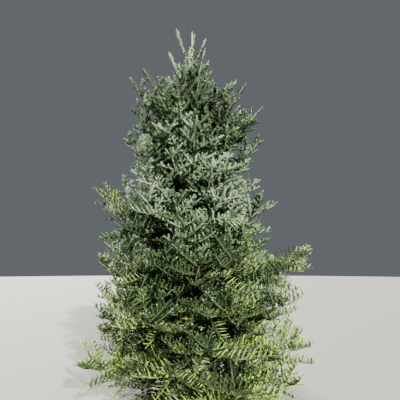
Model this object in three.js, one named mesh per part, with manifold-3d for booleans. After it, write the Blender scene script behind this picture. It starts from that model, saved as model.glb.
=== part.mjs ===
// A grand fir about twelve years old, grown in the open as a Christmas tree and rooted in the ground.
// Millimetres, +Z up. The origin is the middle of the flat cut under the trunk, at ground level.
// Angles round the trunk are in degrees, anticlockwise seen from above, from +X, the tree's right.
import * as THREE from "three";
import { mergeVertices } from "three/addons/utils/BufferGeometryUtils.js";
import Module from "manifold-3d";

const wasm = await Module();
wasm.setup();

// Trunk: it tapers from its foot to the leader's tip, leans and sways a little, and flares in
// ridges over the roots. Its steps are shorter near the foot.
const TREE_HEIGHT = 5100;
const LEADER_LENGTH = 640;
const TRUNK_RADIUS = 72;
const TIP_RADIUS = 4;
const TAPER_POWER = 0.92;
const LEAN = 45;
const SWAY = { x: 14, y: 8 };
const FLARE = 30;
const FLARE_HEIGHT = 130;
const ROOT_RIDGE = 9;
const ROOT_COUNT = 5;
const TRUNK_SIDES = 12;
const TRUNK_STEPS = 15;
const STEP_POWER = 1.35;

// Whorls of boughs, from the ground up: height on the trunk, reach, slope at the trunk and at the
// tip, number of boughs, angle of the first, and whether the limbs are bare where they leave the trunk.
const WHORLS = [
  { height: 430, reach: 1430, slopes: [-0.14, 0.36], boughs: 5, turn: -6, bare: true },
  { height: 800, reach: 1340, slopes: [0.06, 0.46], boughs: 5, turn: 30, bare: true },
  { height: 1200, reach: 1300, slopes: [0.18, 0.62], boughs: 5, turn: -2, bare: false },
  { height: 1620, reach: 1060, slopes: [0.32, 0.78], boughs: 5, turn: 34, bare: false },
  { height: 2060, reach: 970, slopes: [0.44, 0.94], boughs: 5, turn: 4, bare: false },
  { height: 2510, reach: 950, slopes: [0.52, 1.02], boughs: 5, turn: -13, bare: false },
  { height: 2980, reach: 880, slopes: [0.62, 1.17], boughs: 5, turn: 20, bare: false },
  { height: 3460, reach: 740, slopes: [0.72, 1.27], boughs: 4, turn: -12, bare: false },
  { height: 3960, reach: 450, slopes: [1.1, 2.0], boughs: 4, turn: 30, bare: false },
  { height: TREE_HEIGHT - LEADER_LENGTH, reach: 215, slopes: [1.8, 3.2], boughs: 4, turn: 10, bare: false },
];
// Boughs that outgrew their whorl, both counted from 0: their reach as a share of the whorl's, and
// how much steeper they rise
const STRAYS = [
  { whorl: 2, bough: 0, reach: 1.05, lift: 0 },
  { whorl: 3, bough: 2, reach: 1.22, lift: 0.2 },
  { whorl: 6, bough: 0, reach: 1.22, lift: 0 },
  { whorl: 9, bough: 2, reach: 1.1, lift: 0 },
];
// How far boughs stray at random: angle in degrees, reach, slope and sideways sweep
const ANGLE_PLAY = 7;
const REACH_PLAY = 0.12;
const SLOPE_PLAY = 0.05;
const SWEEP_PLAY = 0.12;
// Where the random numbers start: for the boughs of a whorl, and for the foliage of a bough
const BOUGH_SEED = { first: 101, whorl: 37 };
const FOLIAGE_SEED = { first: 1000, whorl: 1000, bough: 77 };
const WARM_UP = 4;

// Limbs: straight steps along a bough, the steps that are bare, and radii as shares of its reach
const BOUGH_STEPS = 6;
const BARE_STEPS = 2;
const TWIG_STEPS = 1;
const BOUGH_ROOT = 0.0105;
const BOUGH_END = 0.0075;
const STEM_TIP = 0.003;
const BOUGH_SIDES = 6;
const STEM_SIDES = 3;

// The gaps that a mass of foliage keeps: to its bough or the trunk, to the next space, to the ground
const JOINT_GAP = 0.3;
const SPACE_GAP = 14;
const GROUND_GAP = 60;

// Side twigs, a pair to a mass. Places are shares of the stem's length, lengths and radii are
// shares of the bough's reach, and angles are in degrees from the stem.
const TWIG_AT = 0.2;
const TWIG_AT_OFF_BOUGH = 0.36;
const TWIG_ANGLE = 44;
const TWIG_ANGLE_PLAY = 4;
const TWIG_LENGTH = 0.36;
const TWIG_FLATTEN = 0.7;
const TWIG_RISE = 0.12;
const TWIG_ROOT = 0.005;
const TWIG_END = 0.0022;
const STAGGER = 0.02;

// Sprays of needles, measured in the same shares: on the side twigs, where their turn is a share
// of the full one, in pairs along the stem, upright or hanging in between, and at the tips
const TWIG_SPRAYS = [
  { at: 0.84, turn: -0.3 },
  { at: 0.5, turn: 1 },
];
const TWIG_SPRAY_LENGTH = 0.36;
const FIRST_PAIR = 0.5;
const LAST_PAIR = 0.8;
const FIRST_LENGTH = 0.46;
const LAST_LENGTH = 0.34;
const UPRIGHT_LENGTH = 0.38;
const TIP_ROOT = 0.92;
const TIP_LENGTH = 0.21;
const SPRAY_TURN = 48;
const RAISED = 14;
const LOWERED = -10;
const UPRIGHT = 48;
const HANGING = -34;
const SIDE_ROLL = 30;
const TIP_CURL = 0.04;
// How far sprays stray at random: angles in degrees, length and curl
const TURN_PLAY = 6;
const RISE_PLAY = 8;
const SIDE_ROLL_PLAY = 18;
const UPRIGHT_TURN_PLAY = 24;
const ROLL_PLAY = 45;
const LENGTH_PLAY = 0.08;
const CURL_PLAY = 0.08;
// Half widths and thickness of a spray as shares of its length, the lengths that are tried in
// turn, and the share of a spray that may run into another
const SPRAY_WIDTH = 0.34;
const TIP_WIDTH = 0.2;
const SPRAY_THICKNESS = 0.014;
const SHRINKS = [1, 0.86, 0.72, 0.58];
const CROSSING = 0.001;
// A spray's outline: where it is thickest and its teeth, in shares of its length and half width
const THICKEST = 0.2;
const TEETH = 2;
const FIRST_TOOTH = 0.32;
const TOOTH_TAPER = 0.66;
const NOTCH_STEP = 0.03;
const NOTCH_DEPTH = 0.44;

const UP = new THREE.Vector3(0, 0, 1);
const radians = THREE.MathUtils.degToRad;
const lerp = THREE.MathUtils.lerp;

// Materials, as seen in sunlight
const BARK = new THREE.MeshStandardMaterial({ color: 0x6f6253, roughness: 0.9, metalness: 0 });
const LIMB = new THREE.MeshStandardMaterial({ color: 0x7a6a55, roughness: 0.85, metalness: 0 });
const NEEDLES = new THREE.MeshStandardMaterial({ color: 0x4d6b3f, roughness: 0.6, metalness: 0 });

// Random numbers from 0 to 1, the same for the same seed
function randomFrom(seed) {
  let state = seed;
  const next = () => {
    state = (Math.imul(state, 1664525) + 1013904223) >>> 0;
    return state / 4294967296;
  };
  for (let i = 0; i < WARM_UP; i += 1) next();
  return next;
}

function between(draw, size) {
  return (2 * draw() - 1) * size;
}

// Moves each vertex of a geometry to where place() puts it, and makes it a closed solid
function shapedSolid(geometry, place) {
  geometry.deleteAttribute("normal");
  geometry.deleteAttribute("uv");
  const at = geometry.getAttribute("position");
  for (let i = 0; i < at.count; i += 1) {
    const point = place(at.getX(i), at.getY(i), at.getZ(i));
    at.setXYZ(i, point.x, point.y, point.z);
  }
  const merged = mergeVertices(geometry);
  return new wasm.Manifold(
    new wasm.Mesh({
      numProp: 3,
      vertProperties: merged.getAttribute("position").array,
      triVerts: new Uint32Array(merged.index.array),
    }),
  );
}

// The trunk's middle line and its radius
function trunkMiddle(height) {
  const share = height / TREE_HEIGHT;
  const sway = Math.sin(2 * Math.PI * share);
  return new THREE.Vector3(SWAY.x * sway - LEAN * share * share, SWAY.y * sway, height);
}

function trunkRadius(height, angle) {
  const fade = Math.exp(-height / FLARE_HEIGHT);
  const ridge = ROOT_RIDGE * fade * Math.cos(ROOT_COUNT * angle);
  const taper = lerp(TRUNK_RADIUS, TIP_RADIUS, (height / TREE_HEIGHT) ** TAPER_POWER);
  return taper + FLARE * fade + ridge;
}

// The trunk from the ground to the leader's tip, thicker all over by a margin
function trunkSolid(margin) {
  const rod = new THREE.CylinderGeometry(1, 1, 1, TRUNK_SIDES, TRUNK_STEPS);
  return shapedSolid(rod, (x, y, z) => {
    const height = TREE_HEIGHT * (y + 0.5) ** STEP_POWER;
    const radius = trunkRadius(height, Math.atan2(-z, x)) + margin;
    return trunkMiddle(height).add(new THREE.Vector3(radius * x, -radius * z, 0));
  });
}

// A limb's middle line, in straight steps: it sets out at one slope and ends at another, and
// sweeps sideways
class LimbLine extends THREE.Curve {
  constructor({ root, angle, sweep, reach, slopes, steps }) {
    super();
    this.steps = steps;
    this.knots = Array.from({ length: steps + 1 }, (_, step) => {
      const share = step / steps;
      const out = share * reach;
      const turn = angle + sweep * share * share;
      const rise = out * lerp(slopes[0], slopes[1], share / 2);
      return new THREE.Vector3(out * Math.cos(turn), out * Math.sin(turn), rise).add(root);
    });
  }

  getPoint(t, target = new THREE.Vector3()) {
    const step = Math.min(Math.floor(t * this.steps), this.steps - 1);
    return target.lerpVectors(this.knots[step], this.knots[step + 1], t * this.steps - step);
  }
}

// A tapered limb along part of a line, its sections square to the line's bends
function limbSolid(line, from, to, radii, sides) {
  const steps = Math.round((to - from) * line.steps);
  const rod = new THREE.CylinderGeometry(1, 1, 1, sides, steps);
  return shapedSolid(rod, (x, y, z) => {
    const share = y + 0.5;
    const t = lerp(from, to, share);
    const radius = lerp(radii[0], radii[1], share);
    const bend = Math.round(t * line.steps) / line.steps;
    const { side, over } = crossAxes(line.getTangent(bend));
    return line.getPoint(t).addScaledVector(side, radius * x).addScaledVector(over, -radius * z);
  });
}

// The level direction across a limb, and the one over it
function crossAxes(ahead) {
  const side = new THREE.Vector3().crossVectors(UP, ahead).normalize();
  const over = new THREE.Vector3().crossVectors(ahead, side);
  return { side, over };
}

// The boughs of one whorl, each with its line and the angles that bound its space
function boughsOf(whorl, level) {
  const draw = randomFrom(BOUGH_SEED.first + BOUGH_SEED.whorl * level);
  const angles = Array.from(
    { length: whorl.boughs },
    (_, i) => radians(whorl.turn + (360 * i) / whorl.boughs + between(draw, ANGLE_PLAY)),
  );
  return angles.map((angle, i) => {
    const before = i > 0 ? angles[i - 1] : angles[whorl.boughs - 1] - 2 * Math.PI;
    const after = i < whorl.boughs - 1 ? angles[i + 1] : angles[0] + 2 * Math.PI;
    const stray = STRAYS.find((s) => s.whorl === level && s.bough === i);
    const reach = whorl.reach * (stray ? stray.reach : 1 - REACH_PLAY * draw());
    const tilt = between(draw, SLOPE_PLAY) + (stray ? stray.lift : 0);
    const slopes = whorl.slopes.map((slope) => slope + tilt);
    const sweep = between(draw, SWEEP_PLAY);
    const root = trunkMiddle(whorl.height);
    return {
      name: `${level + 1}_${i + 1}`,
      level,
      angle,
      bounds: [(before - angle) / 2, (after - angle) / 2],
      line: new LimbLine({ root, angle, sweep, reach, slopes, steps: BOUGH_STEPS }),
      reach,
      seed: FOLIAGE_SEED.first + FOLIAGE_SEED.whorl * level + FOLIAGE_SEED.bough * i,
    };
  });
}

// The height of a whorl's boughs at a distance from the trunk
function whorlHeight(level, out) {
  const { height, reach, slopes } = WHORLS[level];
  return height + out * lerp(slopes[0], slopes[1], out / (2 * reach));
}

// Whether a point lies in a bough's own space: its share of the circle, between the whorls
// above and below, and clear of the ground and the trunk
function inSpace(bough, point) {
  const out = Math.hypot(point.x, point.y);
  if (out < trunkRadius(point.z, 0) + LEAN + SPACE_GAP) return false;
  let turn = Math.atan2(point.y, point.x) - bough.angle;
  turn -= 2 * Math.PI * Math.round(turn / (2 * Math.PI));
  if (out * Math.sin(turn - bough.bounds[0]) < SPACE_GAP) return false;
  if (out * Math.sin(bough.bounds[1] - turn) < SPACE_GAP) return false;
  const here = whorlHeight(bough.level, out);
  const low = bough.level > 0 ? (here + whorlHeight(bough.level - 1, out)) / 2 : 0;
  const high =
    bough.level < WHORLS.length - 1 ? (here + whorlHeight(bough.level + 1, out)) / 2 : TREE_HEIGHT;
  return point.z > Math.max(low + SPACE_GAP, GROUND_GAP) && point.z < high - SPACE_GAP;
}

// One side of a spray's outline, from its root to its tip: teeth that point forwards, as along
// and aside, and grow shorter
function sprayTeeth() {
  const side = [];
  for (let tooth = 0; tooth < TEETH; tooth += 1) {
    const share = tooth / (TEETH + 0.2);
    const along = lerp(FIRST_TOOTH, 1, share);
    const aside = 1 - TOOTH_TAPER * share;
    side.push([along, aside]);
    if (tooth < TEETH - 1) side.push([along + NOTCH_STEP, NOTCH_DEPTH * aside]);
  }
  return side;
}

// A spray of needle shoots as a toothed blade, thick where it leaves its twig. It is a ball of two
// rows, its equator drawn out to the outline and its poles set near the root.
function sprayPoints({ root, ahead, across, length, width, curl }) {
  const over = new THREE.Vector3().crossVectors(ahead, across);
  const at = (along, aside, lift) =>
    root
      .clone()
      .addScaledVector(ahead, along * length)
      .addScaledVector(across, aside * width * length)
      .addScaledVector(over, (lift + curl * along * along) * length);
  const right = sprayTeeth().map(([along, aside]) => at(along, -aside, 0));
  const left = sprayTeeth().map(([along, aside]) => at(along, aside, 0)).reverse();
  return {
    outline: [at(0, 0, 0), ...right, at(1, 0, 0), ...left],
    poles: [at(THICKEST, 0, SPRAY_THICKNESS), at(THICKEST, 0, -SPRAY_THICKNESS)],
  };
}

function spraySolid({ outline, poles }) {
  const ball = new THREE.SphereGeometry(1, outline.length, 2);
  return shapedSolid(ball, (x, y, z) => {
    if (Math.abs(y) > 0.5) return y > 0 ? poles[0] : poles[1];
    const index = Math.round((Math.atan2(z, -x) / (2 * Math.PI)) * outline.length);
    return outline[(index + outline.length) % outline.length];
  });
}

// The directions of a spray that leaves a line at t: turned to one side, raised, and rolled
function sprayAxes(line, t, turn, rise, roll) {
  const ahead = line.getTangent(t);
  const { side, over } = crossAxes(ahead);
  const out = ahead
    .clone()
    .multiplyScalar(Math.cos(turn))
    .addScaledVector(side, Math.sin(turn))
    .multiplyScalar(Math.cos(rise))
    .addScaledVector(over, Math.sin(rise))
    .normalize();
  const across = new THREE.Vector3().crossVectors(over, out).normalize().applyAxisAngle(out, roll);
  return { ahead: out, across };
}

// Adds a spray to a mass, at the greatest of a few lengths that stays in the mass's space and
// crosses no other spray
function addSpray(mass, line, t, { turn, rise, roll, length, ...form }) {
  const axes = sprayAxes(line, t, turn, rise, roll);
  const root = line.getPoint(t);
  for (const share of SHRINKS) {
    const points = sprayPoints({ root, ...axes, length: length * share, ...form });
    if (!points.outline.slice(1).every((point) => inSpace(mass.bough, point))) continue;
    const spray = spraySolid(points);
    const crossing = mass.sprays.intersect(spray).volume();
    if (crossing > CROSSING * spray.volume()) continue;
    mass.sprays = mass.sprays.add(spray);
    return;
  }
}

// A spray in a limb's own direction, from near its tip
function addTipSpray(mass, line, length, draw) {
  addSpray(mass, line, TIP_ROOT, {
    turn: 0,
    rise: 0,
    roll: radians(between(draw, ROLL_PLAY)),
    length,
    width: TIP_WIDTH,
    curl: TIP_CURL,
  });
}

// A spray to one hand of a limb, raised or lowered by turns
function addSideSpray(mass, line, t, { hand, raised, length }, draw) {
  addSpray(mass, line, t, {
    turn: hand * radians(SPRAY_TURN + between(draw, TURN_PLAY)),
    rise: radians((raised ? RAISED : LOWERED) + between(draw, RISE_PLAY)),
    roll: (raised ? hand : -hand) * radians(SIDE_ROLL + between(draw, SIDE_ROLL_PLAY)),
    length: length * (1 + between(draw, LENGTH_PLAY)),
    width: SPRAY_WIDTH,
    curl: between(draw, CURL_PLAY),
  });
}

// A side twig, as long as its space lets it be, with its own sprays
function addTwig(mass, t, hand, sprays, draw) {
  const { bough } = mass;
  const { line, reach } = bough;
  const way = line.getTangent(t);
  const turn = TWIG_ANGLE + between(draw, TWIG_ANGLE_PLAY);
  const angle = Math.atan2(way.y, way.x) + hand * radians(turn);
  const slope = way.z / Math.hypot(way.x, way.y);
  const slopes = [TWIG_FLATTEN * slope, slope + TWIG_RISE];
  for (const share of SHRINKS) {
    const length = share * TWIG_LENGTH * reach;
    const root = line.getPoint(t);
    const twig = new LimbLine({ root, angle, sweep: 0, reach: length, slopes, steps: TWIG_STEPS });
    if (!inSpace(bough, twig.getPoint(1))) continue;
    const radii = [TWIG_ROOT * reach, TWIG_END * reach];
    mass.twigs = mass.twigs.add(limbSolid(twig, 0, 1, radii, STEM_SIDES));
    for (const { at, turn: share } of TWIG_SPRAYS.slice(0, sprays)) {
      const form = { hand: share * hand, raised: true, length: TWIG_SPRAY_LENGTH * reach };
      addSideSpray(mass, twig, at, form, draw);
    }
    return;
  }
}

// The twigs and sprays of a mass: a pair of twigs, then pairs of sprays that are raised and lowered
// by turns, some that stand above the stem or hang below, and one at its tip
function furnish(mass, { twigSprays, pairs, upright }, draw) {
  const { line, reach, level } = mass.bough;
  const first = WHORLS[level].bare ? TWIG_AT_OFF_BOUGH : TWIG_AT;
  for (const hand of twigSprays ? [-1, 1] : []) {
    addTwig(mass, first + STAGGER * hand, hand, twigSprays, draw);
  }
  for (let i = 0; i < pairs; i += 1) {
    const share = pairs > 1 ? i / (pairs - 1) : 1;
    const t = lerp(twigSprays ? FIRST_PAIR : TWIG_AT, LAST_PAIR, share);
    const length = reach * lerp(FIRST_LENGTH, LAST_LENGTH, share);
    for (const hand of [-1, 1]) {
      addSideSpray(mass, line, t + STAGGER * hand, { hand, raised: i % 2 > 0, length }, draw);
    }
  }
  for (let i = 0; i < upright; i += 1) {
    const hangs = i % 2 > 0 || level === 0;
    addSpray(mass, line, lerp(first, LAST_PAIR, (i + 0.5) / (upright + 0.5)), {
      turn: radians(between(draw, UPRIGHT_TURN_PLAY)),
      rise: radians((hangs ? HANGING : UPRIGHT) + between(draw, RISE_PLAY)),
      roll: radians((hangs ? 90 : 0) + between(draw, ROLL_PLAY)),
      length: UPRIGHT_LENGTH * reach,
      width: SPRAY_WIDTH,
      curl: between(draw, CURL_PLAY),
    });
  }
  addTipSpray(mass, line, TIP_LENGTH * reach, draw);
}

// How fully a mass is furnished, by its whorl: sprays on each side twig, where it has twigs, pairs
// of sprays along its stem, and upright ones
function furnishing(level) {
  if (level < 3) return { twigSprays: 2, pairs: 2, upright: 1 };
  if (level < 7) return { twigSprays: 1, pairs: 2, upright: 1 };
  if (level < 9) return { twigSprays: 0, pairs: 3, upright: 2 };
  return { twigSprays: 0, pairs: 1, upright: 0 };
}

// A bough's mass of foliage: the rest of its stem, with the twigs and sprays fused to it
function massSolid(bough, trunkRoom) {
  const { bare } = WHORLS[bough.level];
  const start = bare ? BARE_STEPS / BOUGH_STEPS + JOINT_GAP / bough.reach : 0;
  const radii = [BOUGH_END * bough.reach, STEM_TIP * bough.reach];
  const stem = limbSolid(bough.line, start, 1, radii, STEM_SIDES);
  const mass = { bough, twigs: stem, sprays: stem.subtract(stem) };
  furnish(mass, furnishing(bough.level), randomFrom(bough.seed));
  const joined = mass.twigs.add(mass.sprays);
  return bare ? joined : joined.subtract(trunkRoom);
}

// A solid's triangles as a geometry
function geometryOf(solid) {
  const { vertProperties, triVerts } = solid.getMesh();
  return new THREE.BufferGeometry()
    .setAttribute("position", new THREE.BufferAttribute(new Float32Array(vertProperties), 3))
    .setIndex(new THREE.BufferAttribute(triVerts, 1));
}

function addMesh(group, name, solid, material) {
  const mesh = new THREE.Mesh(geometryOf(solid), material);
  mesh.name = name;
  group.add(mesh);
}

function grandFir() {
  const tree = new THREE.Group();
  const trunkRoom = trunkSolid(JOINT_GAP);
  addMesh(tree, "trunk", trunkSolid(0), BARK);
  WHORLS.forEach((whorl, level) => {
    for (const bough of boughsOf(whorl, level)) {
      if (whorl.bare) {
        const radii = [BOUGH_ROOT * bough.reach, BOUGH_END * bough.reach];
        const limb = limbSolid(bough.line, 0, BARE_STEPS / BOUGH_STEPS, radii, BOUGH_SIDES);
        addMesh(tree, `bough_${bough.name}`, limb.subtract(trunkRoom), LIMB);
      }
      addMesh(tree, `foliage_${bough.name}`, massSolid(bough, trunkRoom), NEEDLES);
    }
  });
  return tree;
}

export default grandFir();
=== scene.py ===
# %% [markdown]
# # A young grand fir
# This script dresses the solid model of a fir tree about five metres tall. The solids say where the
# trunk, the boughs and the masses of foliage are. Here each mass grows on into twigs, shoots and
# needles by the same rule, and the trunk and boughs get their bark.

import math
from collections import namedtuple
from types import SimpleNamespace

import bmesh
import bpy
import numpy as np
from mathutils import Matrix, Vector, noise


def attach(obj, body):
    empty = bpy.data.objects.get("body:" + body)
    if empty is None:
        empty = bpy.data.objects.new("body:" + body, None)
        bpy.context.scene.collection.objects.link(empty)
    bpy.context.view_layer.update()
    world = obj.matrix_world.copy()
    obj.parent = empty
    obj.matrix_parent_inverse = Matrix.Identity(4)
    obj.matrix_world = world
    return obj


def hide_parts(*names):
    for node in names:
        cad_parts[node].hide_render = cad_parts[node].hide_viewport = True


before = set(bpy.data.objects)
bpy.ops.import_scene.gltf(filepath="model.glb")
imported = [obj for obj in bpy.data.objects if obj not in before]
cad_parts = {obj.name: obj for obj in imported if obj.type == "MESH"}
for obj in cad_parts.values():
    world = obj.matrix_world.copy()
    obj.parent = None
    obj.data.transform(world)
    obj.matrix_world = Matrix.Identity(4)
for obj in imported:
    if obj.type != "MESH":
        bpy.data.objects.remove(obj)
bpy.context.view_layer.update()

# %% [markdown]
# ## The trunk's line
# A fir's trunk is one straight pole that tapers from its foot to the tip of the leader, the bare
# shoot at the top. It could be drawn as a curve, but a formula for its middle and its radius lets
# everything else ask where the bark is at any height.

# %% Middle and radius of the trunk
TREE_HEIGHT = 5.1
LEADER_LENGTH = 0.64
TRUNK_RADIUS = 0.072
TIP_RADIUS = 0.004
TAPER_POWER = 0.92
LEAN = 0.045
SWAY = (0.014, 0.008)
FLARE = 0.03
FLARE_HEIGHT = 0.13
ROOT_RIDGE = 0.009
ROOT_COUNT = 5
UP = Vector((0, 0, 1))


def lerp(first, last, share):
    return first + (last - first) * share


def trunk_middle(height):
    share = height / TREE_HEIGHT
    sway = math.sin(2 * math.pi * share)
    return Vector((SWAY[0] * sway - LEAN * share**2, SWAY[1] * sway, height))


def trunk_radius(height, angle):
    fade = math.exp(-height / FLARE_HEIGHT)
    ridge = ROOT_RIDGE * fade * math.cos(ROOT_COUNT * angle)
    taper = lerp(TRUNK_RADIUS, TIP_RADIUS, (height / TREE_HEIGHT) ** TAPER_POWER)
    return taper + FLARE * fade + ridge


print("trunk: radius at the ground", round(trunk_radius(0, 0), 3), "m")

# %% [markdown]
# ## Whorls of boughs
# A fir adds one whorl of boughs each year, so the boughs stand round the trunk in tiers. The low
# ones are long and nearly level, and the high ones are short and steep. They could be scattered
# freely, but the same table as in the solid model keeps every bough here on its solid.

# %% The table of whorls
# Height and reach in metres, the boughs' slopes at the trunk and at the tip, the number of boughs,
# the first one's angle in degrees, and whether they are bare near the trunk
Whorl = namedtuple("Whorl", "height reach slopes boughs turn bare")
WHORLS = [
    Whorl(0.43, 1.43, (-0.14, 0.36), 5, -6, True),
    Whorl(0.80, 1.34, (0.06, 0.46), 5, 30, True),
    Whorl(1.20, 1.30, (0.18, 0.62), 5, -2, False),
    Whorl(1.62, 1.06, (0.32, 0.78), 5, 34, False),
    Whorl(2.06, 0.97, (0.44, 0.94), 5, 4, False),
    Whorl(2.51, 0.95, (0.52, 1.02), 5, -13, False),
    Whorl(2.98, 0.88, (0.62, 1.17), 5, 20, False),
    Whorl(3.46, 0.74, (0.72, 1.27), 4, -12, False),
    Whorl(3.96, 0.45, (1.1, 2.0), 4, 30, False),
    Whorl(4.46, 0.215, (1.8, 3.2), 4, 10, False),
]
# Boughs that outgrew their whorl: (whorl, bough) and then reach and lift
STRAYS = {(2, 0): (1.05, 0), (3, 2): (1.22, 0.2), (6, 0): (1.22, 0), (9, 2): (1.1, 0)}
TOP = len(WHORLS) - 1
print("whorls:", len(WHORLS), "with", sum(whorl.boughs for whorl in WHORLS), "boughs")

# %% [markdown]
# ## Random numbers
# No two boughs of a real tree are alike, but the solids and this script have to agree on each one.
# A library's random numbers can differ from one program to another. This short rule gives the same
# numbers for the same seed everywhere.

# %% Random numbers, the same for the same seed
# The rule's factor, step and range, and how many first numbers are thrown away
FACTOR, STEP, RANGE = 1664525, 1013904223, 2**32
WARM_UP = 4


def random_from(seed):
    state = seed

    def draw():
        nonlocal state
        state = (state * FACTOR + STEP) % RANGE
        return state / RANGE

    for _ in range(WARM_UP):
        draw()
    return draw


def between(draw, size):
    return (2 * draw() - 1) * size


print("first number from seed 101:", round(random_from(101)(), 4))

# %% [markdown]
# ## The line of a bough
# A young bough leaves the trunk at one slope and bends upwards to its tip, because the shoot at its
# end grows towards the light. It also sweeps a little to one side. Two slopes and a sweep describe
# that, so a short formula does instead of a drawn curve.

# %% The line of a limb
NEARBY = 0.01


class Limb:
    """A limb's middle line: it sets out at one slope, ends at another, and sweeps sideways."""

    def __init__(self, root, angle, sweep, reach, slopes):
        self.root, self.angle, self.sweep = root, angle, sweep
        self.reach, self.slopes = reach, slopes

    def point(self, t):
        out = t * self.reach
        turn = self.angle + self.sweep * t * t
        rise = out * lerp(self.slopes[0], self.slopes[1], t / 2)
        return self.root + Vector((out * math.cos(turn), out * math.sin(turn), rise))

    def ahead(self, t):
        return (self.point(t + NEARBY) - self.point(t - NEARBY)).normalized()


trial = Limb(Vector(), 0, 0, 1, (0, 0.5))
print("a limb of 1 m that bends from slope 0 to slope 0.5 rises", trial.point(1).z, "m")

# %% The boughs on their lines
# Play of a bough's angle in degrees, of its reach, of its slopes, and of its sweep in radians
ANGLE_PLAY = 7
REACH_PLAY = 0.12
SLOPE_PLAY = 0.05
SWEEP_PLAY = 0.12
# Seeds of a whorl and of a bough's foliage, and how far apart they lie by whorl and by bough
WHORL_SEED, WHORL_SEEDS = 101, 37
FOLIAGE_SEED, LEVEL_SEEDS, BOUGH_SEEDS = 1000, 1000, 77


def bough_at(level, i, angles, draw):
    whorl, count = WHORLS[level], len(angles)
    angle = angles[i]
    before = angles[i - 1] if i > 0 else angles[-1] - 2 * math.pi
    after = angles[i + 1] if i < count - 1 else angles[0] + 2 * math.pi
    stray = STRAYS.get((level, i))
    reach = whorl.reach * (stray[0] if stray else 1 - REACH_PLAY * draw())
    tilt = between(draw, SLOPE_PLAY) + (stray[1] if stray else 0)
    slopes = [slope + tilt for slope in whorl.slopes]
    sweep = between(draw, SWEEP_PLAY)
    return SimpleNamespace(
        name=f"{level + 1}_{i + 1}",
        level=level,
        angle=angle,
        bounds=((before - angle) / 2, (after - angle) / 2),
        limb=Limb(trunk_middle(whorl.height), angle, sweep, reach, slopes),
        seed=FOLIAGE_SEED + LEVEL_SEEDS * level + BOUGH_SEEDS * i,
    )


def boughs_of(level):
    whorl = WHORLS[level]
    draw = random_from(WHORL_SEED + WHORL_SEEDS * level)
    step = 360 / whorl.boughs
    turns = [whorl.turn + step * i + between(draw, ANGLE_PLAY) for i in range(whorl.boughs)]
    angles = [math.radians(turn) for turn in turns]
    return [bough_at(level, i, angles, draw) for i in range(whorl.boughs)]


BOUGHS = [bough for level in range(TOP + 1) for bough in boughs_of(level)]
print("boughs:", len(BOUGHS), "longest", round(max(b.limb.reach for b in BOUGHS), 2), "m")

# %% [markdown]
# ## Small boughs between the whorls
# Between two whorls a fir's trunk also puts out weaker boughs, which fill the crown's depth. They
# are left out of the solids. They could be one more tier half way up, but layers at several heights
# hide the tiers better. Each stands over or beside a main bough and keeps well inside the crown.

# %% A whorl at any height
SKIRT_DROP = 0.36
SKIRT_SLOPE = 0.12


def whorl_at(level):
    """The height, reach and slopes of a whorl, between two whorls, or below the first."""
    if level < 0:
        slopes = [slope + SKIRT_SLOPE * level for slope in WHORLS[0].slopes]
        return WHORLS[0].height + SKIRT_DROP * level, WHORLS[0].reach, slopes
    low, high = WHORLS[int(level)], WHORLS[math.ceil(level)]
    share = level - int(level)
    slopes = [lerp(a, b, share) for a, b in zip(low.slopes, high.slopes)]
    return lerp(low.height, high.height, share), lerp(low.reach, high.reach, share), slopes


print("half way from whorl 1 to whorl 2:", [round(size, 2) for size in whorl_at(0.5)[:2]])

# %% The small boughs
SMALL_REACHES = (0.9, 0.9, 0.86, 0.82, 0.8, 0.78, 0.76, 0.74, 0.72, 0.7)
# Layers as the share of the way to the next whorl and the turn from the main bough
SKIRT_LAYERS = ((-0.78, 0.5), (-0.4, 1.4))
LOW_LAYERS = ((0.0, 1.0), (0.28, 0.4), (0.52, 1.5), (0.76, 0.9))
HIGH_LAYERS = ((0.22, 1.1), (0.48, 0.45), (0.75, 1.4))
LOW_LEVELS = 3
# The crown's left side is fuller, so the small boughs there are longer
LEFT_GROWTHS = (0, 0, 0.14, 0.3, 0.38, 0.38, 0.38, 0, 0, 0)
# In degrees and in metres: play of a small bough's angle and height
SMALL_TURN = 11
SMALL_SHIFT = 0.09
SMALL_SWEEP = 0.1
SMALL_ROOM = 1.2
SMALL_SEED, SHARE_SEEDS, SMALL_FOLIAGE_SEED = 501, 100, 8000


def small_boughs(level, share, offset):
    draw = random_from(SMALL_SEED + WHORL_SEEDS * level + round(SHARE_SEEDS * (share + 1)))
    mains = [bough for bough in BOUGHS if bough.level == level]
    height, reach, slopes = whorl_at(level + share)
    room = SMALL_ROOM * math.pi / len(mains)
    boughs = []
    for i, main in enumerate(mains):
        angle = main.angle + offset * main.bounds[1] + math.radians(between(draw, SMALL_TURN))
        size = SMALL_REACHES[level] * reach * (1 - 2 * REACH_PLAY * draw())
        size *= 1 + LEFT_GROWTHS[level] * max(0, -math.cos(angle))
        root = trunk_middle(height + between(draw, SMALL_SHIFT))
        tilt = between(draw, SLOPE_PLAY)
        limb = Limb(root, angle, SMALL_SWEEP, size, [slope + tilt for slope in slopes])
        boughs.append(
            SimpleNamespace(
                name=f"small_{level + share}_{i + 1}",
                level=level + share,
                angle=angle,
                bounds=(-room, room),
                limb=limb,
                seed=SMALL_FOLIAGE_SEED + round(LEVEL_SEEDS * (level + share)) + BOUGH_SEEDS * i,
            )
        )
    return boughs


SMALL_BOUGHS = []
for share, offset in SKIRT_LAYERS:
    SMALL_BOUGHS += small_boughs(0, share, offset)
for level in range(TOP):
    layers = LOW_LAYERS if level < LOW_LEVELS else HIGH_LAYERS
    for share, offset in layers if level < TOP - 1 else layers[:1]:
        SMALL_BOUGHS += small_boughs(level, share, offset)
print("small boughs:", len(SMALL_BOUGHS))

# %% [markdown]
# ## The room a bough has
# On the real tree the foliage of one bough stops where its neighbours shade it. The sprays could be
# cut off at a smooth cone, but that looks clipped. Here a spray is kept only if it lies in its own
# bough's share of the circle and between the whorls above and below. That also leaves the notches
# between the boughs' tips, where light shows through.

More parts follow.
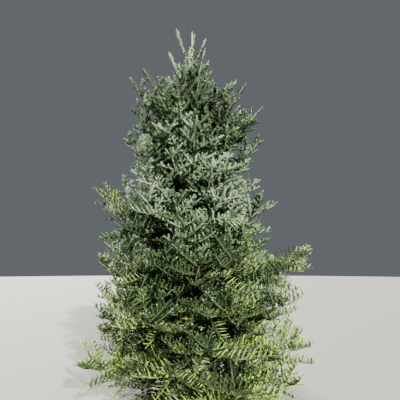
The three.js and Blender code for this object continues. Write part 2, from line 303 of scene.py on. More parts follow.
# %% Whether a point is in a bough's own room
SPACE_GAP = 0.014
GROUND_GAP = 0.06
CROWN_TOP = 4.5
ROOM_ABOVE = 0.5
# How far down a bough's room goes, in whorls, for low and for high boughs
ROOMS_BELOW = (0.9, 0.5)
HIGH_LEVEL = 4


def whorl_height(level, out):
    height, reach, slopes = whorl_at(level)
    return height + out * lerp(slopes[0], slopes[1], out / (2 * reach))


def in_space(bough, point):
    out = math.hypot(point.x, point.y)
    if out < trunk_radius(max(point.z, 0), 0) + LEAN + SPACE_GAP:
        return False
    turn = math.atan2(point.y, point.x) - bough.angle
    turn -= 2 * math.pi * round(turn / (2 * math.pi))
    if out * math.sin(turn - bough.bounds[0]) < SPACE_GAP:
        return False
    if out * math.sin(bough.bounds[1] - turn) < SPACE_GAP:
        return False
    under = bough.level - ROOMS_BELOW[bough.level >= HIGH_LEVEL]
    low = whorl_height(under, out) if under > 0 else 0
    inside = bough.level < TOP - ROOM_ABOVE
    high = whorl_height(bough.level + ROOM_ABOVE, out) if inside else CROWN_TOP
    return max(low, GROUND_GAP) < point.z < min(high, CROWN_TOP)


print("half way along bough 1_1 is in its room:", in_space(BOUGHS[0], BOUGHS[0].limb.point(0.5)))

# %% [markdown]
# ## Sprays
# Grand fir foliage lies in flat sprays: a twig with side shoots in pairs at about 54 degrees, like
# a herringbone, each shoot with needles to both sides. The solids show a spray as one toothed
# blade. Here the blade's rib is a twig and its teeth are shoots, and long shoots branch once more.
# A shoot is only noted down at first, because it is quicker to make thousands of needles at once.

# %% Directions of a twig
# A shoot starts at its root and has three directions, a length in metres, a curl, and a tone from
# dark to light. Its order is 0 on the bough itself, 1 for a spray's twig and more for side shoots
Shoot = namedtuple("Shoot", "bough root out across over length curl tone order")
SHOOTS = []


def cross_axes(ahead):
    side = UP.cross(ahead).normalized()
    return side, ahead.cross(side)


def turned(ahead, turn, rise, roll):
    """Directions of a twig that leaves another: its way, the way across it, and the way over it."""
    side, over = cross_axes(ahead)
    out = (ahead * math.cos(turn) + side * math.sin(turn)) * math.cos(rise) + over * math.sin(rise)
    out.normalize()
    across = over.cross(out).normalized()
    across.rotate(Matrix.Rotation(roll, 3, out))
    if out.cross(across).z < 0:
        across.negate()
    return out, across, out.cross(across)


def side_axes(way, across, angle, tilt, lift, roll):
    """Directions of a side shoot, raised out of its spray's plane and lifted to the light."""
    over = way.cross(across)
    ahead = (way * math.cos(angle) + across * math.sin(angle)) * math.cos(tilt)
    ahead = (ahead + over * math.sin(tilt) + UP * lift).normalized()
    flat = over.cross(ahead).normalized()
    flat.rotate(Matrix.Rotation(roll, 3, ahead))
    return ahead, flat, ahead.cross(flat)


print("a twig turned by 90 degrees goes", turned(Vector((1, 0, 0)), math.pi / 2, 0, 0)[0][:])

# %% A spray of shoots, with one value for each whorl from the lowest up
SHOOT_SPACINGS = (0.056, 0.056, 0.06, 0.07, 0.085, 0.09, 0.095, 0.095, 0.095, 0.09)
LIFTS = (0.16, 0.16, 0.16, 0.18, 0.2, 0.28, 0.35, 0.45, 0.6, 0.6)
TILTS = (27, 27, 24, 16, 10, 8, 6, 5, 5, 5)
# How long a side shoot is, as a share of its twig
SHOOT_SHARES = (0.36, 0.36, 0.38, 0.4, 0.42, 0.42, 0.42, 0.42, 0.42, 0.42)
# How far out the side shoots have died, and the finest ones, as shares of the bough's reach
INNER_SHARES = (0.3, 0.3, 0.32, 0.3, 0.25, 0.2, 0.15, 0.1, 0, 0)
FINE_SHARE = 0.62
SHOOT_ANGLE = 54
BRANCHED_SHARE = 0.84
# Where the side shoots start along a twig, and over what share of it they stand
SHOOT_RANGE = (0.08, 0.8)
STAGGER = 0.22
SHOOT_TAPER = 0.6
# The shortest shoot that is kept and the shortest twig that branches, in metres
SHORTEST = 0.045
BRANCHING = 0.17
SIZE_PLAY = 0.16
TONE_PLAY = 0.18
# In degrees: play of a side shoot's angle, tilt and roll
SHOOT_PLAYS = (7, 9, 16)
SHOOT_BEND = (0.1, 0.07)


def bare_inside(bough, middle, order):
    """The shaded side shoots near the trunk have died, and the finest reach least far in."""
    reach = bough.limb.reach
    out = math.hypot(middle.x, middle.y)
    inner = INNER_SHARES[int(bough.level)] * reach
    return order > 1 and out < inner or order > 2 and out < FINE_SHARE * reach


def side_pairs(length, level):
    return max(1, round(BRANCHED_SHARE * length / SHOOT_SPACINGS[level]))


def grow_spray(bough, root, axes, length, curl, tone, order, draw):
    """Notes a shoot and the side shoots on it."""
    out, across, over = axes
    if bare_inside(bough, root + out * (length / 2), order):
        return
    SHOOTS.append(Shoot(bough, root, out, across, over, length, curl, tone, order))
    if length < BRANCHING:
        return
    level = int(bough.level)
    pairs = side_pairs(length, level)
    for k in range(pairs):
        for hand in (1, -1):
            share = SHOOT_RANGE[0] + SHOOT_RANGE[1] * (k + 0.5 + STAGGER * hand) / pairs
            size = SHOOT_SHARES[level] * length * (1 - SHOOT_TAPER * share)
            size *= 1 + between(draw, SIZE_PLAY)
            if size < SHORTEST:
                continue
            angle = hand * math.radians(SHOOT_ANGLE + between(draw, SHOOT_PLAYS[0]))
            tilt = math.radians(TILTS[level] + between(draw, SHOOT_PLAYS[1]))
            roll = math.radians(between(draw, SHOOT_PLAYS[2]))
            start = root + out * (share * length) + over * (curl * share**2 * length)
            way = (out + over * (2 * curl * share)).normalized()
            inner = side_axes(way, across, angle, tilt, LIFTS[level], roll)
            bend = SHOOT_BEND[0] + between(draw, SHOOT_BEND[1])
            shade = tone + between(draw, TONE_PLAY)
            grow_spray(bough, start, inner, size, bend, shade, order + 1, draw)


print("pairs of side shoots on a low twig of 0.3 m:", side_pairs(0.3, 0))

# %% [markdown]
# ## The length of a spray
# A spray near the trunk would grow long, but its neighbours leave it little room. Its length could
# be worked out from the room's shape, with much geometry. Trying a few lengths from long to short
# and keeping the first that fits gives the same look with a short loop.

# %% Fitting a spray into its bough's room
SHRINKS = (1, 0.88, 0.76, 0.64, 0.52, 0.4, 0.3)
OUTER_SHARES = (1.06, 1.06, 1.06, 1.08, 1.1, 1.12, 1.12, 1.12, 1.12, 1.12)
SPRAY_HALF = 0.16


def fitted(bough, root, axes, length, curl):
    """The greatest of a few lengths at which a spray's tip and its sides stay in the room."""
    out, across, over = axes
    outer = OUTER_SHARES[int(bough.level)] * bough.limb.reach
    for shrink in SHRINKS:
        size = length * shrink
        tip = root + out * size + over * (curl * size)
        side = root + out * (size / 2) + over * (curl * size / 4)
        half = across * (SPRAY_HALF * size)
        if math.hypot(tip.x, tip.y) > outer:
            continue
        if all(in_space(bough, corner) for corner in (tip, side + half, side - half)):
            return size
    return 0


print("lengths tried:", len(SHRINKS))

# %% [markdown]
# ## From bough to sprays
# Along a bough the sprays come in pairs. By turns they are raised, level and lowered, so that one
# bough fills its room in layers, and some stand up from it or hang below. Low on the tree the
# sprays droop and curl up again. One flat fan for each bough would leave the crown see-through.

# %% How light a spray is
# Painted light: sprays of the crown's middle that face the key lamp are lighter, and those on the
# far side a little darker, as painted shade.
PAINTED_SUN_SIDE = math.radians(-40)
PAINTED_SUN_TONE = 0.24
PAINTED_SUN_LEVEL = 4
PAINTED_SUN_LEVELS = 2.5
PAINTED_SHADE_LIMIT = -0.3
MIDDLE_TONE = 0.5
LEVEL_TONES = (0.12, 0.14, 0.14, 0.14, 0.06, -0.1, -0.2, 0.1, 0.6, 0.6)
STRAY_TONE = 0.14
# Play of the tone, for low and for high boughs
SPRAY_PLAYS = (0.18, 0.35)
STRAY_NAMES = [f"{level + 1}_{i + 1}" for level, i in STRAYS]


def spray_tone(bough, draw):
    """Dark to light; the crown's middle gets painted light towards the key lamp, shade away."""
    middle = max(0, 1 - abs(bough.level - PAINTED_SUN_LEVEL) / PAINTED_SUN_LEVELS)
    painted_sun = PAINTED_SUN_TONE * middle * max(PAINTED_SHADE_LIMIT, math.cos(bough.angle - PAINTED_SUN_SIDE))
    play = between(draw, SPRAY_PLAYS[bough.level >= LOW_LEVELS])
    darker = STRAY_TONE if bough.name in STRAY_NAMES else 0
    return MIDDLE_TONE + LEVEL_TONES[int(bough.level)] + play + painted_sun - darker


print("boughs that outgrew their whorl:", STRAY_NAMES)

# %% The pairs of sprays along a bough, with one value for each whorl from the lowest up
PAIR_SPACINGS = (0.13, 0.13, 0.125, 0.12, 0.105, 0.1, 0.095, 0.085, 0.07, 0.06)
DROOPS = (-14, -12, -8, -2, 0, 0, 0, 0, 0, 0)
CURLS = (0.3, 0.3, 0.26, 0.12, 0.08, 0.08, 0.08, 0.08, 0.08, 0.08)
LAST_PAIRS = (0.93, 0.93, 0.92, 0.9, 0.88, 0.86, 0.84, 0.78, 0.5, 0.3)
END_LENGTHS = (0.3, 0.3, 0.27, 0.24, 0.2, 0.2, 0.2, 0.2, 0.2, 0.2)
ROOT_LENGTH = 0.62
# For low and for high boughs: the first pair, the angle of a pair, and the share of its rise
FIRST_PAIRS = (0.28, 0.14)
PAIR_ANGLES = (58, 50)
RISE_SHARES = (0.5, 1)
# By turns, in degrees, and how much a spray rolls for each degree of its rise
RISES = (4, -12, 18, -3, -20, 30, 10)
ROLL_BY_RISE = 0.8
CLOSING = 8
CROWDING = 0.8
PAIR_SHIFT = 0.02
# In degrees: play of a spray's rise, turn and roll
PAIR_PLAYS = (7, 7, 14)
LENGTH_PLAY = 0.12
CURL_PLAY = 0.08
# A bough that outgrew its whorl has more sprays, long ones at its root, and they dip
STRAY_PAIRS = 1.7
STRAY_LENGTHS = (1.5, 0.7)
DIPS = {"3_1": 26, "4_3": 14, "4_5": 14, "7_1": 12, "10_3": 12}


def pairs_on(bough):
    """Where the first and the last pair stand, and the number of pairs."""
    level = int(bough.level)
    first, last = FIRST_PAIRS[level >= LOW_LEVELS], LAST_PAIRS[level]
    crowd = STRAY_PAIRS if bough.name in STRAY_NAMES else 1
    count = round((last - first) * bough.limb.reach / PAIR_SPACINGS[level] * crowd)
    return first, last, max(3, count)


def add_spray(bough, place, axes, length, curl, draw):
    root = bough.limb.point(place)
    length = fitted(bough, root, axes, length, curl)
    if length > SHORTEST:
        grow_spray(bough, root, axes, length, curl, spray_tone(bough, draw), 1, draw)


def dress_pairs(bough, draw):
    limb, level = bough.limb, int(bough.level)
    high = level >= LOW_LEVELS
    first, last, pairs = pairs_on(bough)
    for i in range(pairs):
        share = i / (pairs - 1)
        t = lerp(first, last, share**CROWDING)
        for hand in (1, -1):
            place = min(t + PAIR_SHIFT * hand, 1)
            rise = RISE_SHARES[high] * RISES[(i + (hand > 0)) % len(RISES)]
            rise += DROOPS[level] + between(draw, PAIR_PLAYS[0]) - DIPS.get(bough.name, 0)
            turn = hand * (PAIR_ANGLES[high] - CLOSING * share + between(draw, PAIR_PLAYS[1]))
            roll = -hand * (ROLL_BY_RISE * rise + between(draw, PAIR_PLAYS[2]))
            axes = turned(limb.ahead(place), *(math.radians(a) for a in (turn, rise, roll)))
            length = limb.reach * lerp(ROOT_LENGTH, END_LENGTHS[level], t)
            length *= 1 + between(draw, LENGTH_PLAY)
            length *= lerp(*STRAY_LENGTHS, t) if bough.name in STRAY_NAMES else 1
            curl = CURLS[level] + between(draw, CURL_PLAY)
            add_spray(bough, place, axes, length, curl, draw)


print("pairs of sprays on bough 1_1:", pairs_on(BOUGHS[0])[2])

# %% Sprays that stand up or hang, and the spray at the tip
UPRIGHT, HANGING = 46, -36
HANG_LEVELS = 6
# In degrees: play of an extra spray's rise, turn and roll
EXTRA_PLAYS = (12, 35, 50)
EXTRA_LENGTH = 0.36
# How much shorter they get, and from where along the bough
EXTRA_TAPER, TAPER_START = 0.2, 0.6
EXTRA_CURL = 0.06
TIP_ROOT = 0.92
TIP_LENGTH = 0.13
TIP_DIP = math.radians(-12)
TIP_ROLL = 30
TIP_CURL = 0.04


def dress_extras(bough, draw):
    limb, level = bough.limb, int(bough.level)
    first, last, pairs = pairs_on(bough)
    extras = max(1, pairs // 2)
    for i in range(extras):
        t = lerp(first, last, (i + 0.5) / extras)
        # Low on the tree every third one hangs, and on the lowest whorl every second one too
        hangs = level < HANG_LEVELS and (i % 3 == 1 or (level == 0 and i % 2 == 1))
        rise = HANGING if hangs else UPRIGHT - 2 * DIPS.get(bough.name, 0)
        rise += between(draw, EXTRA_PLAYS[0])
        turn, roll = between(draw, EXTRA_PLAYS[1]), between(draw, EXTRA_PLAYS[2])
        axes = turned(limb.ahead(t), *(math.radians(a) for a in (turn, rise, roll)))
        length = EXTRA_LENGTH - EXTRA_TAPER * max(0, t - TAPER_START) * (level < HANG_LEVELS)
        add_spray(bough, t, axes, length * limb.reach, EXTRA_CURL, draw)


def dress_tip(bough, draw):
    limb = bough.limb
    roll = math.radians(between(draw, TIP_ROLL))
    axes = turned(limb.ahead(TIP_ROOT), 0, TIP_DIP, roll)
    root, length = limb.point(TIP_ROOT), TIP_LENGTH * limb.reach
    grow_spray(bough, root, axes, length, TIP_CURL, spray_tone(bough, draw), 1, draw)


def dress(bough):
    draw = random_from(bough.seed)
    if bough.level < TOP:
        dress_pairs(bough, draw)
        dress_extras(bough, draw)
    if bough.level < HANG_LEVELS:
        dress_tip(bough, draw)


print("extra sprays on bough 1_1:", pairs_on(BOUGHS[0])[2] // 2)

# %% [markdown]
# ## Needles on the boughs themselves
# The young end of a bough has needles too, before it turns to bare wood further in. The needles
# could follow its curve exactly, but five short straight lengths look the same and let one recipe
# make every needle of the tree.

# %% The young ends of the boughs
LIMB_ENDS = (0.94, 0.94, 0.94, 0.94, 0.94, 0.94, 1.1, 0.95, 0.94, 1.05)
SHORT_ENDS = {"9_4": 0.84, "10_4": 0.84}
YOUNG_PIECES = 5
# How far out the needles start, on most boughs and on the highest
YOUNG_STARTS = (0.5, 0.15)
HIGHEST_LEVEL = 7
YOUNG_TONES = (0.15, 0.5)


def limb_end(bough):
    """How far along its line a bough's wood goes."""
    return SHORT_ENDS.get(bough.name, LIMB_ENDS[int(bough.level)])


def straight_shoot(owner, start, end, tone, axes=None):
    """A straight length of needled wood from one point to another."""
    step = end - start
    ahead = step.normalized()
    side, over = axes or cross_axes(ahead)
    return Shoot(owner, start, ahead, side, over, step.length, curl=0, tone=tone, order=0)


def needle_limb(bough):
    """The needles on a bough's own young end, in short straight lengths."""
    draw, level = random_from(bough.seed + 1), int(bough.level)
    first = YOUNG_STARTS[bough.level >= HIGHEST_LEVEL]
    last = TIP_ROOT if bough.level < HANG_LEVELS else limb_end(bough)
    tone = YOUNG_TONES[0] + YOUNG_TONES[1] * draw() + LEVEL_TONES[level]
    for i in range(YOUNG_PIECES):
        places = (lerp(first, last, (i + k) / YOUNG_PIECES) for k in (0, 1))
        start, end = (bough.limb.point(place) for place in places)
        SHOOTS.append(straight_shoot(bough, start, end, tone))


for bough in BOUGHS + SMALL_BOUGHS:
    dress(bough)
    needle_limb(bough)
print("shoots:", len(SHOOTS), "length", round(sum(shoot.length for shoot in SHOOTS)), "m")

# %% [markdown]
# ## Needles
# A grand fir needle is flat, blunt and about three centimetres long, glossy green above with two
# silvery bands below, and it stands out to its own side of the shoot. Low on the tree the needles
# lie flat in two combs, and high up they also stand upwards. Single needles would need several
# million triangles. Here two opposite needles are one thin closed shape of four faces, two green
# above and two silvery below. They are wider than life, because the real tree has many more.

# %% The shoots' values as arrays
VECTORS = ("root", "out", "across", "over")
NUMBERS = ("length", "curl", "tone", "order")
NEEDLE_SEED = 5
chance = np.random.default_rng(NEEDLE_SEED)


def unit(vectors):
    return vectors / np.linalg.norm(vectors, axis=1, keepdims=True)


def table_of(shoots):
    """One row for a shoot. Its depth is 0 at the trunk and about 1 at the crown's outside."""
    table = SimpleNamespace()
    for name in VECTORS:
        setattr(table, name, np.array([tuple(getattr(shoot, name)) for shoot in shoots]))
    for name in NUMBERS:
        setattr(table, name, np.array([getattr(shoot, name) for shoot in shoots], dtype=float))
    table.level = np.array([shoot.bough.level for shoot in shoots], dtype=float)
    table.angle = np.array([shoot.bough.angle for shoot in shoots])
    table.reach = np.array([shoot.bough.limb.reach for shoot in shoots])
    centre = table.root + table.out * (table.length / 2)[:, None]
    table.depth = np.hypot(centre[:, 0], centre[:, 1]) / table.reach
    return table


print("mean depth of the shoots:", round(float(table_of(SHOOTS).depth.mean()), 2))

# %% Where the needles stand
# A value that changes up the tree or with depth is two lists: the whorls, or the depths, and the
# values there, with an even change between them.
# Spacing of the pairs by whorl, and how much wider it is deep in the crown
NEEDLE_STEPS = ([2, 5], [0.0125, 0.0062])
STEPS_BY_DEPTH = ([0.5, 0.8, 1], [2.4, 1, 0.8])
LEADER_STEP = 0.018
# The bare start of a twig that has side shoots, and of any other
BARE_STARTS = (0.12, 0.03)
# How far the needles turn round their shoot, in degrees, by whorl
NEEDLE_ROLLS = ([0, 3, 6, 9], [8, 25, 75, 90])
SKEW_PLAY = 0.2
# The first pair's place in its own stretch, and how far the last ones turn to the tip
FIRST_NEEDLE = 0.6
LAST_NEEDLES = 0.93
LAST_SKEW = 0.7


def needle_stations(table, sparse):
    """Which shoot each pair of needles is on, and how far along it."""
    step = np.interp(table.level, *NEEDLE_STEPS) * np.interp(table.depth, *STEPS_BY_DEPTH)
    if sparse:
        step = np.full(len(step), LEADER_STEP)
    start = np.where(table.order == 1, *BARE_STARTS)
    count = np.maximum(3, np.round(table.length * (1 - start) / step)).astype(int)
    owner = np.repeat(np.arange(len(count)), count)
    number = np.arange(len(owner)) - np.repeat(np.cumsum(count) - count, count)
    return owner, lerp(start[owner], 1.0, (number + FIRST_NEEDLE) / count[owner])


def needle_axes(table, owner, share):
    """The middle of each pair of needles, and the ways to their tips, ahead and upwards."""
    out, across, over = table.out[owner], table.across[owner], table.over[owner]
    bow = (table.curl[owner] * share)[:, None]
    along = (share * table.length[owner])[:, None]
    middle = table.root[owner] + out * along + over * (bow * along)
    ahead = unit(out + over * (2 * bow))
    lift = np.cross(ahead, across)
    roll = np.radians(np.interp(table.level, *NEEDLE_ROLLS))[owner]
    roll = (chance.uniform(-1, 1, len(owner)) * roll)[:, None]
    skew = chance.normal(0, SKEW_PLAY, len(owner))
    last = chance.choice([-LAST_SKEW, LAST_SKEW], len(owner))
    skew = (skew + np.where(share > LAST_NEEDLES, last, 0))[:, None]
    wide = across * np.cos(roll) + lift * np.sin(roll)
    wide = unit(wide * np.cos(skew) + ahead * np.sin(skew))
    lift = unit(np.cross(ahead, wide))
    return middle, wide, np.cross(wide, lift), lift


print("needle pairs on a low shoot of 0.1 m:", round(0.1 / NEEDLE_STEPS[1][0]))

# %% Corners and faces of the needles
HALF_SPANS = ([0, 3, 6, 9], [0.017, 0.022, 0.033, 0.029])
# Deep in the crown the pairs are larger and wider, and with their painted shade they are dark
# sheets that fill the core.
SPANS_BY_DEPTH = ([0.45, 0.72, 0.85, 1], [2.3, 1, 1, 1.35])
NEEDLE_WIDTHS = ([2, 5], [0.0125, 0.0105])
WIDTHS_BY_DEPTH = ([0.5, 0.78], [2.7, 1])
NEEDLE_THICKNESS = 0.0012
LEADER_SPAN = 0.015
SPAN_PLAY = (0.82, 1.12)
# Along a shoot the needles start short, grow long at once, and shorten again towards the tip
PROFILE_START, PROFILE_RISE, PROFILE_FALL = 0.72, 3, 0.35
NEEDLE_FACES = np.array([[3, 2, 0], [2, 3, 1], [0, 2, 1], [0, 1, 3]])


def needle_sizes(table, owner, share, sparse):
    """Half the span over a pair of needles, and half a needle's width."""
    profile = np.minimum(1, PROFILE_START + PROFILE_RISE * share) * (1 - PROFILE_FALL * share**3)
    span = np.interp(table.level, *HALF_SPANS) * np.interp(table.depth, *SPANS_BY_DEPTH)
    span = LEADER_SPAN if sparse else span[owner]
    half = span * profile * chance.uniform(*SPAN_PLAY, len(owner))
    width = np.interp(table.level, *NEEDLE_WIDTHS) * np.interp(table.depth, *WIDTHS_BY_DEPTH)
    return half[:, None], width[owner][:, None] / 2


def needle_shapes(axes, half, deep):
    """A thin closed shape for each pair: two tips low and two edges high."""
    middle, wide, front, lift = axes
    thick = lift * (NEEDLE_THICKNESS / 2)
    tips = [middle + wide * half - thick, middle - wide * half - thick]
    edges = [middle + front * deep + thick, middle - front * deep + thick]
    corners = np.stack(tips + edges, axis=1).reshape(-1, 3)
    first = 4 * np.arange(len(middle))[:, None, None]
    return corners, (first + NEEDLE_FACES).reshape(-1, 3)


print("faces of a needle pair:", len(NEEDLE_FACES))

# %% [markdown]
# ## Light and frosted needles
# New growth at a shoot's end is lighter than the needles behind it. Deep in the crown almost no
# light is left, and the needles there get painted shade, nearly black. High on the tree and towards
# the boughs' ends the foliage is frosted with grey, and the side towards the key lamp gets more
# frost as painted light. An image couldn't give that to single needles. A number dealt out by spray
# can, because it picks one of a few plain colours.

# %% How light and how frosted a needle is
FADES = ([2, 5], [0.55, 0.3])
# Painted shade: deep in the crown the needles are made nearly black, and at its outside they get a
# little painted light
PAINTED_SHADE_BY_DEPTH = ([0.45, 0.75, 0.85, 1.05], [-0.9, -0.08, 0, 0.06])
SHADE_PLAY = 0.09
# Frost grows by one for each whorl up to this one, and by the dealt number, side and depth. More
# frost on the side towards the key lamp is painted light.
FROST_LEVEL = 4.2
FROST_PLAY = 4
DEALS = 37
PAINTED_LIGHT_SIDE = -1
FROST_BY_PAINTED_LIGHT = 0.2
FROST_BY_DEPTH = 1.3
FROST_DEPTHS = (0.82, 1.05)


def needle_shades(table, owner, share):
    """Dark to light for each pair of needles."""
    fade = np.interp(table.level, *FADES)[owner]
    shade = table.tone[owner] + chance.normal(0, SHADE_PLAY, len(owner)) + fade * (share - 0.5)
    # The depth adds painted shade, darkest at the crown's core
    return shade + np.interp(table.depth, *PAINTED_SHADE_BY_DEPTH)[owner]


def frost_of(table):
    """How frosted a shoot is. It goes by height, and the shoot's tone serves as a dealt number."""
    # Painted light: shoots on the side towards the key lamp are dealt more frost, so they are
    # lighter
    deal = (table.tone * DEALS) % 1 + FROST_BY_PAINTED_LIGHT * np.cos(table.angle - PAINTED_LIGHT_SIDE)
    deal += FROST_BY_DEPTH * (np.minimum(table.depth, FROST_DEPTHS[1]) - FROST_DEPTHS[0])
    return np.minimum(table.level, FROST_LEVEL) + FROST_PLAY * (deal - 0.5)


print("mean frost of the shoots:", round(float(frost_of(table_of(SHOOTS)).mean()), 2))

# %% [markdown]
# ## One mesh for many needles
# Ten thousand small objects would make Blender slow, and building them one by one in a loop takes
# long. The corners and faces of all the needles are two arrays already, and a mesh can take them
# whole. So the needles of one whorl become one joined piece.

# %% A mesh from arrays
def joined_mesh(name, corners, faces, colours, materials):
    """A piece from an array of corners, one of triangles, and each triangle's material number."""
    mesh = bpy.data.meshes.new(name)
    mesh.vertices.add(len(corners))
    mesh.vertices.foreach_set("co", corners.astype(np.float32).ravel())
    mesh.loops.add(3 * len(faces))
    mesh.loops.foreach_set("vertex_index", faces.astype(np.int32).ravel())
    mesh.polygons.add(len(faces))
    mesh.polygons.foreach_set("loop_start", np.arange(0, 3 * len(faces), 3, dtype=np.int32))
    mesh.polygons.foreach_set("material_index", colours.astype(np.int32).ravel())
    for material in materials:
        mesh.materials.append(material)
    mesh.update(calc_edges=True)
    piece = bpy.data.objects.new(name, mesh)
    bpy.context.scene.collection.objects.link(piece)
    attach(piece, "root")
    print(name, len(faces), "faces")
    return piece


# %% [markdown]
# ## Needle colours
# The low needles are yellow-green, the middle ones olive and the high ones grey-green, and their
# undersides are silvery. A needle is too small to show a pattern, so each colour is a plain
# material with a satin surface, and each kind of foliage has a ramp of five of them, dark to light.

# %% Plain colours for needles
def plain_material(name, colour, roughness, specular=0.3):
    material = bpy.data.materials.new(name)
    material.use_nodes = True
    shader = material.node_tree.nodes["Principled BSDF"]
    shader.inputs["Base Color"].default_value = (*colour, 1)
    shader.inputs["Roughness"].default_value = roughness
    shader.inputs["Specular IOR Level"].default_value = specular
    return material


# The darkest green and the dullest band are nearly black: deep in the crown they are painted shade,
# elsewhere the darkest tone of a dark spray.
GREENS = [
    plain_material("needle_dark_and_shade", (0.003, 0.009, 0.001), 0.5, 0.2),
    plain_material("needle_deep", (0.042, 0.098, 0.005), 0.5, 0.08),
    plain_material("needle_mid", (0.102, 0.200, 0.010), 0.5, 0.08),
    plain_material("needle_fresh", (0.132, 0.238, 0.022), 0.5, 0.08),
    plain_material("needle_tip", (0.200, 0.300, 0.084), 0.5, 0.1),
    plain_material("needle_blue", (0.022, 0.058, 0.018), 0.48, 0.2),
    plain_material("needle_grey", (0.064, 0.118, 0.056), 0.5, 0.15),
    plain_material("needle_frost", (0.136, 0.180, 0.108), 0.5, 0.15),
    plain_material("needle_olive", (0.042, 0.090, 0.018), 0.5, 0.12),
    plain_material("needle_sage", (0.080, 0.142, 0.036), 0.5, 0.12),
]
SILVERS = [
    plain_material("band_dull_and_shade", (0.010, 0.024, 0.005), 0.6, 0.2),
    plain_material("band_pale", (0.054, 0.092, 0.046), 0.6, 0.2),
    plain_material("band_bright", (0.134, 0.180, 0.116), 0.6, 0.2),
]
# Numbers in GREENS, dark to light
LOW_RAMP = np.array([0, 1, 2, 3, 4])
MIDDLE_RAMP = np.array([0, 5, 8, 9, 3])
HIGH_RAMP = np.array([0, 5, 8, 6, 7])
# Frost above which a shoot takes the middle ramp and the high one
FROST_STEPS = (2, 3.7)
# How much lighter or darker the undersides are, by whorl
SILVERY = ([0, 2, 3.5, 5.5, 9], [-0.75, -0.6, -0.05, -0.2, -0.3])
print("needle colours:", len(GREENS), "greens,", len(SILVERS), "silvers")

# %% The needles of each whorl
def needle_colours(shade, level, frost):
    step = np.clip((shade * len(LOW_RAMP)).astype(int), 0, len(LOW_RAMP) - 1)
    top = np.where(frost > FROST_STEPS[1], HIGH_RAMP[step], MIDDLE_RAMP[step])
    top = np.where(frost < FROST_STEPS[0], LOW_RAMP[step], top)
    light = shade + np.interp(level, *SILVERY)
    under = np.clip((light * len(SILVERS)).astype(int), 0, len(SILVERS) - 1)
    return np.stack([top, top, len(GREENS) + under, len(GREENS) + under], axis=1)


def needle_piece(name, shoots, sparse=False):
    table = table_of(shoots)
    owner, share = needle_stations(table, sparse)
    axes = needle_axes(table, owner, share)
    corners, faces = needle_shapes(axes, *needle_sizes(table, owner, share, sparse))
    shade = needle_shades(table, owner, share)
    colours = needle_colours(shade, table.level[owner], frost_of(table)[owner])
    piece = joined_mesh(name, corners, faces, colours, GREENS + SILVERS)
    return piece


for level in range(len(WHORLS)):
    shoots = [shoot for shoot in SHOOTS if level <= shoot.bough.level < level + 1]
    piece = needle_piece(f"needles_{level + 1}", shoots)
    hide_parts(*[f"foliage_{bough.name}" for bough in BOUGHS if bough.level == level])
needle_piece("needles_skirt", [shoot for shoot in SHOOTS if shoot.bough.level < 0])

# %% [markdown]
# ## Twigs
# Under the needles each shoot is a thin woody twig, pale yellow when new, tan when young and
# grey-brown when old. Seen from outside, the new twigs draw a fine light line along each low
# shoot. A curve with a bevel would be rounder, but a three-sided cone is enough at this size, and
# arrays make all of them at once as they do the needles.

# %% Corners and faces of the twigs
TWIG_RADIUS = 0.0013
TWIG_GROWTH = 0.007
TWIG_TAPER = 0.75


def cone_corners(table, thick, steps):
    """Rings of three corners along each twig, and then its tip."""
    rings = []
    for step in range(steps):
        share = step / steps
        bow = (table.curl * share**2 * table.length)[:, None]
        middle = table.root + table.out * (share * table.length)[:, None] + table.over * bow
        radius = (thick * (1 - TWIG_TAPER * share))[:, None]
        for angle in (0, 2 * math.pi / 3, 4 * math.pi / 3):
            aside = table.across * math.cos(angle) + table.over * math.sin(angle)
            rings.append(middle + aside * radius)
    bow = (table.curl * table.length)[:, None]
    rings.append(table.root + table.out * table.length[:, None] + table.over * bow)
    return np.stack(rings, axis=1)


def cone_faces(steps):
    faces = [(0, 2, 1)]
    for step in range(steps - 1):
        for k in range(3):
            a, b = 3 * step + k, 3 * step + (k + 1) % 3
            faces += [(a, b, b + 3), (a, b + 3, a + 3)]
    last = 3 * (steps - 1)
    return faces + [(last + k, last + (k + 1) % 3, 3 * steps) for k in range(3)]


print("faces of a bent twig:", len(cone_faces(2)), "and of a straight one:", len(cone_faces(1)))

# %% Colours of the twigs
TWIGS = [
    plain_material("twig_old", (0.030, 0.024, 0.016), 0.8),
    plain_material("twig_tan", (0.070, 0.055, 0.028), 0.7),
    plain_material("twig_young", (0.150, 0.150, 0.055), 0.6),
    plain_material("twig_new", (0.270, 0.300, 0.140), 0.6),
]
THICK_TWIG = 0.004
NEW_DEPTH = 0.7
NEW_LENGTH = 0.15


def twig_colours(table, thick):
    """Old, tan or young, and new for the short outermost side shoots of the low boughs."""
    young = np.where(table.order > 1, 2, 1) - (thick > THICK_TWIG)
    outer = np.hypot(table.root[:, 0], table.root[:, 1]) > NEW_DEPTH * table.reach
    fine = (table.length < NEW_LENGTH) & (table.order > 1) & (table.level < HIGH_LEVEL)
    return np.where(outer & fine, 3, young)


print("twig colours:", len(TWIGS))

# %% The twigs as one piece
def twig_cones(shoots, steps):
    table = table_of(shoots)
    thick = TWIG_RADIUS + TWIG_GROWTH * table.length
    corners, faces = cone_corners(table, thick, steps), np.array(cone_faces(steps))
    first = corners.shape[1] * np.arange(len(shoots))[:, None, None]
    colours = np.repeat(twig_colours(table, thick), len(faces))
    return corners.reshape(-1, 3), (first + faces).reshape(-1, 3), colours


long_twigs = [shoot for shoot in SHOOTS if shoot.order == 1 or shoot.length > BRANCHING]
short_twigs = [shoot for shoot in SHOOTS if shoot.order > 1 and shoot.length <= BRANCHING]
bent, straight = twig_cones(long_twigs, 2), twig_cones(short_twigs, 1)
twigs = joined_mesh(
    "twigs",
    np.concatenate([bent[0], straight[0]]),
    np.concatenate([bent[1], straight[1] + len(bent[0])]),
    np.concatenate([bent[2], straight[2]]),
    TWIGS,
)

